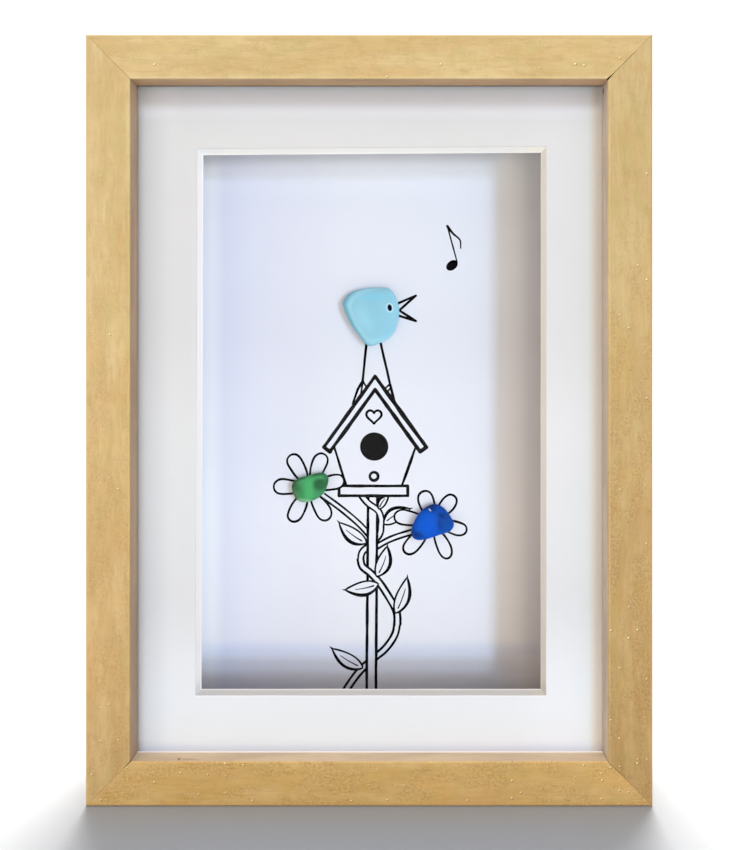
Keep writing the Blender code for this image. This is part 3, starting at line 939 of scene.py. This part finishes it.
def drawNote(art):
    at = drawnPlaces
    head, tilt = Vector(at["note"]), math.radians(at["noteTilt"])
    long, high = at["noteHead"]
    oval = [Vector((point.x * long, point.y * high)) for point in disc((0, 0), 1, 28)]
    art.area([head + Vector((point.x * math.cos(tilt) - point.y * math.sin(tilt),
                             point.x * math.sin(tilt) + point.y * math.cos(tilt))) for point in oval], "pen")
    foot, top = (head + Vector(place) for place in at["noteStem"])
    stemPen, flagPen = at["notePens"]
    art.strokes([foot, top], stemPen)
    art.line(smoothPath([top + Vector(place) for place in at["noteFlag"]], 0.6), flagPen, taper=0.5)


def drawCard():
    art = Drawing()
    drawStems(art, "stemsBehind")
    drawPost(art)
    drawStems(art, "stemsBefore")
    drawLeaves(art)
    for pen, share, corners in drawnPlaces["legs"]:
        art.strokes(corners, inkLook[pen] * share)
    drawHouse(art)       # it hides the toes' ends
    drawFlowers(art)
    art.strokes(drawnPlaces["beak"], inkLook["fine"] * 1.17)
    drawNote(art)
    return art


def inkFinish(name, dark, light):
    ink = Finish(name)
    dense = ink.noise(3, 2)
    return ink.surface({
        "Base Color": ink.blend(dense, dark, light), "Roughness": 0.8 + dense * 0.1,
        "Specular IOR Level": 0.0,
    })


def makeCard():
    low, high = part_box("picture_card")
    art = drawCard()
    left, right, foot, top = low.x / mm, high.x / mm, low.z / mm, high.z / mm
    edge = [(left, foot), (right, foot), (right, top), (left, top)]
    points, borders = [], []
    for outline in [edge] + art.shapes:
        start, count = len(points), len(outline)
        points += [Vector(point) for point in outline]
        borders += [(start + k, start + (k + 1) % count) for k in range(count)]
    flat, _, faces = delaunay_2d_cdt(points, borders, [], 0, 1e-5, False)[:3]
    vertices = [(point.x * mm, low.y, point.y * mm) for point in flat]
    corners = np.array([tuple(point) for point in flat])[np.array(faces)]
    slots = [int(kind) for kind in art.kindAt(corners.mean(1))]
    faces = [tuple(face) for face in faces]
    corners = []
    for x, z in edge:
        corners.append(min(range(len(flat)), key=lambda k: abs(flat[k].x - x) + abs(flat[k].y - z)))
    start = len(vertices)
    vertices += [(x * mm, high.y, z * mm) for x, z in edge]
    faces.append((start, start + 3, start + 2, start + 1))
    for k in range(4):
        after = (k + 1) % 4
        faces.append((corners[k], start + k, start + after, corners[after]))
    slots += [0] * 5       # the back and the four sides are bare paper
    look = inkLook
    materials = [
        paperFinish("card", look["paper"], 0.4, 0.008, look["tones"]),
        inkFinish("pen ink", look["ink"], look["thinInk"]),
        inkFinish("marker ink", look["marker"], look["ink"]),
    ]
    makePiece("drawn_card", "picture_card", vertices, faces, materials, slots, None, ["picture_card"])
    print("Card drawn with", len(faces), "faces,", len(art.shapes), "shapes")


makeCard()


# The sea glass

seaGlassLook = {
    # outline: in shares of the width and height; spots: where each lies, its half axes, its turn, how soft
    # its edge is, its strength and its colour; both are set to the photo
    "bird": {
        "node": "bird_glass", "slot": "turquoise_sea_glass",
        "outline": [(-0.50, 0.20), (-0.485, 0.27), (-0.41, 0.375), (-0.27, 0.45), (-0.08, 0.49), (0.16, 0.50),
                    (0.31, 0.49), (0.385, 0.42), (0.455, 0.30), (0.495, 0.15), (0.495, 0.02), (0.465, -0.12),
                    (0.41, -0.26), (0.315, -0.37), (0.16, -0.45), (0.0, -0.50), (-0.09, -0.47),
                    (-0.20, -0.345), (-0.34, -0.155), (-0.435, 0.03)],
        "colour": (143, 196, 214), "deep": (129, 190, 210), "seed": 3.0,
        "rim": (114, 184, 206), "rimShadeLean": (-0.24, -0.05), "rimFrom": 1.0, "band": (158, 210, 226),
        "spots": [
            ((1.5, 219.6), (9.5, 2.0), 3, 0.9, 0.5, (126, 200, 226)),
            ((-3.6, 208.4), (3.6, 6.6), 32, 0.9, 0.4, (164, 216, 230)),
            ((8.0, 214.5), (1.75, 2.4), 10, 0.3, 0.75, (196, 232, 244)),
            ((8.0, 214.5), (1.1, 1.7), 10, 0.15, 1.0, (10, 6, 30)),
        ],
    },
    "greenFlower": {
        "node": "green_flower_glass", "slot": "green_sea_glass",
        "outline": [(-0.50, 0.05), (-0.43, 0.21), (-0.28, 0.33), (-0.08, 0.39), (0.15, 0.47), (0.37, 0.49),
                    (0.50, 0.32), (0.47, 0.05), (0.36, -0.21), (0.14, -0.41), (-0.14, -0.50), (-0.34, -0.42),
                    (-0.46, -0.20)],
        "colour": (71, 153, 97), "deep": (50, 122, 77), "seed": 11.0,
        "rim": (46, 108, 70), "rimShadeLean": (-0.04, 0.06), "rimFrom": 0.88, "band": (78, 162, 106),
        "spots": [
            ((-30.2, 128.5), (2.5, 12), 0, 0.7, 0.8, (74, 176, 106)),
            ((-24.4, 131.4), (3.9, 3.0), 10, 0.5, 0.8, (32, 84, 50)),
            ((-23.8, 127.0), (3.2, 4.8), 0, 0.9, 0.5, (46, 112, 70)),
            ((-36.6, 130.0), (2.8, 3.4), 25, 0.8, 0.85, (58, 98, 64)),
            ((-36.8, 125.6), (2.4, 1.7), -40, 0.8, 0.8, (92, 108, 82)),
            ((-31.8, 123.5), (4.4, 1.1), -4, 0.7, 0.75, (136, 186, 150)),
            ((-27.0, 124.4), (2.8, 1.2), 18, 0.8, 0.5, (52, 110, 70)),
        ],
    },
    "blueFlower": {
        "node": "blue_flower_glass", "slot": "blue_sea_glass",
        "outline": [(-0.50, -0.24), (-0.42, 0.04), (-0.25, 0.33), (0.02, 0.50), (0.26, 0.40), (0.44, 0.12),
                    (0.50, -0.06), (0.42, -0.24), (0.16, -0.35), (-0.16, -0.475), (-0.38, -0.49),
                    (-0.48, -0.39)],
        "colour": (0, 83, 196), "deep": (0, 68, 162), "seed": 23.0,
        "rim": (4, 58, 142), "rimShadeLean": (0.04, 0.0), "rimFrom": 0.88, "band": (0, 80, 190),
        "spots": [
            ((24.4, 113.4), (6.4, 7.6), 20, 0.8, 0.8, (0, 92, 213)),
            ((34.4, 113.4), (4.4, 6.8), 20, 0.8, 0.75, (10, 72, 156)),
            ((32.6, 116.6), (3.0, 1.4), -25, 0.9, 0.7, (6, 36, 92)),
            ((31.6, 112.6), (1.3, 3.4), 10, 0.9, 0.5, (8, 46, 112)),
            ((21.0, 107.6), (3.6, 1.9), -15, 0.9, 0.75, (6, 36, 98)),
            ((27.4, 120.0), (3.4, 2.0), -20, 0.8, 0.75, (4, 42, 104)),
            # a painted highlight in a small pit
            ((26.9, 119.3), (0.85, 0.36), -42, 0.4, 0.85, (196, 214, 242)),
        ],
    },
}
pebbleShape = {
    "step": 0.045, "fit": 0.999, "thickness": 0.95, "crown": 0.965, "lump": 0.05,
    # from the middle of the back round the worn rim to the crown: how far out, and how far forward
    "profile": [
        (0.0, 0.0), (0.60, 0.0), (0.84, 0.01), (0.94, 0.09), (0.99, 0.24), (1.0, 0.38), (0.985, 0.54),
        (0.945, 0.68), (0.88, 0.79), (0.79, 0.87), (0.66, 0.925), (0.48, 0.96), (0.26, 0.988), (0.0, 1.0),
    ],
}


def seaGlassFinish(name, look):
    # frosted glass: the rim is painted darker, as shade, leaning towards one side, with a paler band just
    # inside it
    glass = Finish(name)
    cloud = glass.rise(glass.noise(6, 2, 0.5, look["seed"]), 0.35, 0.7)
    grit = glass.noise(0.3, 3, 0.65)
    outward = glass.node("ShaderNodeAttribute", {"attribute_name": "outward"}, out="Fac")
    low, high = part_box(look["node"])
    middle, half = (low + high) / 2 / mm, (high - low) / 2 / mm
    # how far the rim's painted shade leans towards one side
    lean = (glass.along("X") - middle.x) * (look["rimShadeLean"][0] / half.x)
    lean = lean + (glass.along("Z") - middle.z) * (look["rimShadeLean"][1] / half.z)
    start = look["rimFrom"]
    colour = glass.blend(cloud * 0.5, look["colour"], look["deep"])
    inner = glass.rise(outward + lean, start - 0.26, start - 0.12)
    colour = glass.blend(inner * 0.7, colour, look["band"])
    # the rim's painted shade
    rim = glass.rise(outward + lean, start - 0.06, start + 0.10)
    colour = glass.blend(rim * 0.85, colour, look["rim"])
    for middle, half, turn, soft, strength, tint in look["spots"]:
        colour = glass.spot(colour, "XZ", middle, half, turn, soft, strength, tint)
    pale = glass.rise(glass.noise(0.9, 2, 0.5, look["seed"]), 0.66, 0.76)
    colour = glass.blend(pale * 0.08, colour, 255)
    return glass.surface({
        "Base Color": colour, "Roughness": 0.6 + grit * 0.12, "Normal": glass.bump(grit, 0.02),
        "Subsurface Weight": 0.4, "Subsurface Radius": (1.0, 1.0, 1.0), "Subsurface Scale": 0.9 * mm,
        "Specular IOR Level": 0.05,
    })


def makeSeaGlass(name):
    look = seaGlassLook[name]
    low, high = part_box(look["node"])
    middle, size = (low + high) / 2, high - low
    shape = pebbleShape
    outline = smoothPath(look["outline"], shape["step"], True)
    rights, ups = zip(*outline)
    width, height = max(rights) - min(rights), max(ups) - min(ups)
    centreX, centreY = (max(rights) + min(rights)) / 2, (max(ups) + min(ups)) / 2
    section = smoothPath(shape["profile"], shape["step"])[1:-1]
    count = len(outline)
    points, outward = [], []
    for ring in section:
        for point in outline:
            outward.append(ring.x if ring.y > 0.4 else 1.0)       # 1 on the rim and all over the back
            x, z = (point.x - centreX) / width * ring.x, (point.y - centreY) / height * ring.x
            front = max(0, ring.y)
            stray = wander(Vector((x * 3, z * 3, look["seed"])))
            lump = stray * shape["lump"] * front * (1 - ring.x * 0.5)
            y = high.y - size.y * min(1, front * (shape["thickness"] + lump))
            points.append((middle.x + x * size.x * shape["fit"], y, middle.z + z * size.z * shape["fit"]))
    faces = ringFaces(len(section), count)
    last = (len(section) - 1) * count
    points.append((middle.x, high.y, middle.z))
    points.append((middle.x, high.y - size.y * shape["crown"], middle.z))
    for k in range(count):
        after = (k + 1) % count
        faces.append((k, after, len(points) - 2))
        faces.append((last + k, last + after, len(points) - 1))
    outward += [1.0, 0.0]
    finish = seaGlassFinish(name, look)
    piece = makePiece(f"{name}_sea_glass", look["slot"], points, faces, [finish], None, 60, [look["node"]])
    piece.data.attributes.new("outward", "FLOAT", "POINT").data.foreach_set("value", outward)


for name in seaGlassLook:
    makeSeaGlass(name)
print("Sea glass made")


# The back

backLook = {
    "board": (128, 92, 60), "boardDark": (96, 66, 42),
    "steel": (172, 174, 178), "brass": (206, 172, 96),
}


def boardFinish():
    board = Finish("hardboard")
    fibres = board.rise(board.noise(0.8, 4, 0.7), 0.35, 0.7)
    patches = board.noise(35, 3)
    share = fibres * 0.5 + patches * 0.3
    colour = board.blend(share, backLook["board"], backLook["boardDark"])
    return board.surface({
        "Base Color": colour, "Roughness": 0.55 + fibres * 0.2, "Normal": board.bump(fibres, 0.05),
    })


def metalFinish(name, colour, shine):
    metal = Finish(name)
    brushed = metal.noise((0.25, 0.25, 6), 2)
    dull = metal.rise(metal.noise(4, 3), 0.45, 0.75)
    return metal.surface({
        "Base Color": metal.blend(dull * 0.2, colour, 0), "Metallic": 1.0,
        "Roughness": shine + brushed * 0.15 + dull * 0.15, "Normal": metal.bump(brushed, 0.01),
    })


dressNode("backing_board", boardFinish())
steel = metalFinish("zinc plated steel", backLook["steel"], 0.3)
brass = metalFinish("brass plate", backLook["brass"], 0.25)
for name in nodes:
    if name.startswith("tab_"):
        dressNode(name, steel)
    if name.startswith("hanger"):
        dressNode(name, brass)
print("Back dressed")


# The floor, the light and the camera

stageLook = {
    # sizes in metres; the paper lies just under the frame
    "floorSize": 3.0, "floorDrop": 0.00005, "curveStart": 0.9, "curveRadius": 0.6, "wallHeight": 2.0,
    "surroundRadius": 9.0,
    "floor": (172, 186, 200), "world": (0.70, 0.585, 0.54),      # the world's is the light it gives
}
sideLight = {"tilt": 37, "softness": 11, "on": "picture", "colour": (0.157, 0.202, 0.259)}
lightLook = {
    # degrees off the frame's front, turned which way round it (0 is right, 90 up), how soft, what it lights,
    # and how much light it gives a white sheet that faces it
    "lowerRight": {"tilt": 22, "turn": 315, "softness": 26, "on": "picture", "colour": (0.165, 0.105, 0.04)},
    # two narrow lights from the right: one alone gives the shadows' ends too sharp a step
    "rightHigh": sideLight | {"turn": 12},
    "rightLow": sideLight | {"turn": -11},
    "above": {"tilt": 42, "turn": 90, "softness": 26, "on": "frame", "colour": (0.33, 0.39, 0.435)},
    "upperLeft": {"tilt": 62, "turn": 135, "softness": 26, "on": "frame", "colour": (0.23, 0.19, 0.125)},
    "overhead": {"tilt": 97, "turn": 92, "softness": 30, "on": "frame", "colour": (0.45, 0.45, 0.45),
                 "gloss": True},
    "behind": {"tilt": 112, "turn": 88, "softness": 30, "on": "stage", "colour": (2.25, 1.88, 1.56)},
    "backdrop": {"tilt": 0, "turn": 0, "softness": 30, "on": "stage", "colour": (2.25, 1.88, 1.56)},
}
cameraLook = {
    "place": (15.64, -303.5, 186.15), "lens": 28.05, "shiftX": -0.0388, "shiftY": -0.067,
}


def makeFloor():
    look = stageLook
    half, start, radius = look["floorSize"], look["curveStart"], look["curveRadius"]
    section = [(-half, 0.0)] + [(start + y, z) for y, z in arc((0, radius), radius, 270, 360, 16)]
    section.append((start + radius, look["wallHeight"]))
    points, faces = [], []
    for y, z in section:
        points += [(x, y, z - look["floorDrop"]) for x in (-half, half)]
    for k in range(len(section) - 1):
        faces.append((2 * k, 2 * k + 1, 2 * k + 3, 2 * k + 2))
    mesh = bpy.data.meshes.new("paper_sweep")
    mesh.from_pydata(points, [], faces)
    mesh.shade_smooth()
    floor = addObject("paper_sweep", mesh)
    mesh.materials.append(paperFinish("floor paper", look["floor"], 1.0, 0.0))
    floor.visible_shadow = False       # a light that stands low shines past it


def makeSurround():
    # a pale round wall far away, which only the camera sees, so that it gives no light
    shape = bmesh.new()
    bmesh.ops.create_uvsphere(shape, u_segments=48, v_segments=24, radius=stageLook["surroundRadius"])
    mesh = bpy.data.meshes.new("surround")
    shape.to_mesh(mesh)
    shape.free()
    surround = addObject("surround", mesh)
    paper = Finish("surround paper")
    white = paper.blend(paper.noise(900, 1), 255, (253, 254, 255))
    mesh.materials.append(paper.surface({
        "Base Color": (0, 0, 0, 1), "Emission Color": white, "Emission Strength": 1.0,
        "Specular IOR Level": 0.0,
    }))
    for kind in ("diffuse", "glossy", "transmission", "volume_scatter", "shadow"):
        setattr(surround, f"visible_{kind}", False)


def makeLight(name):
    look = lightLook[name]
    lamp = bpy.data.lights.new(name, "SUN")
    lamp.angle = math.radians(look["softness"])
    strongest = max(look["colour"])
    lamp.color = tuple(value / strongest for value in look["colour"])
    lamp.energy = strongest * math.pi
    light = addObject(name, lamp)
    tilt, turn = math.radians(look["tilt"]), math.radians(look["turn"])
    toward = Vector((math.sin(tilt) * math.cos(turn), -math.cos(tilt), math.sin(tilt) * math.sin(turn)))
    light.rotation_euler = toward.to_track_quat("Z", "Y").to_euler()
    light.visible_glossy = look.get("gloss", False)       # the other lights leave no discs in the glass
    lit = bpy.data.collections.new(f"{name} lights")
    for piece in litPieces[look["on"]]:
        lit.objects.link(piece)
    light.light_linking.receiver_collection = lit


def makeCamera():
    lens = bpy.data.cameras.new("camera")
    lens.lens = cameraLook["lens"]
    lens.sensor_width = 36
    lens.shift_x = cameraLook["shiftX"]
    lens.shift_y = cameraLook["shiftY"]
    lens.clip_start = 0.01
    camera = addObject("camera", lens)
    camera.location = Vector(cameraLook["place"]) * mm
    camera.rotation_euler = (math.radians(90), 0, 0)
    bpy.context.scene.camera = camera


makeFloor()
makeSurround()
# the picture behind the mat is lit from the right, and the frame and the mat's face from above
pictureNames = ("mat_board", "drawn_card", "_sea_glass", "spacer_")
litPieces = {"picture": [], "frame": [], "stage": []}
for piece in list(bpy.context.scene.objects):
    if piece.type == "MESH":
        inPicture = any(name in piece.name for name in pictureNames)
        onStage = piece.name in ("paper_sweep", "surround")
        litPieces["stage" if onStage else "picture" if inPicture else "frame"].append(piece)
for name in lightLook:
    makeLight(name)
makeCamera()
world = bpy.data.worlds.new("studio")
world.use_nodes = True
world.node_tree.nodes["Background"].inputs["Color"].default_value = (*stageLook["world"], 1.0)
bpy.context.scene.world = world
bpy.context.scene.view_settings.view_transform = "Standard"
print("Stage, lights and camera made")
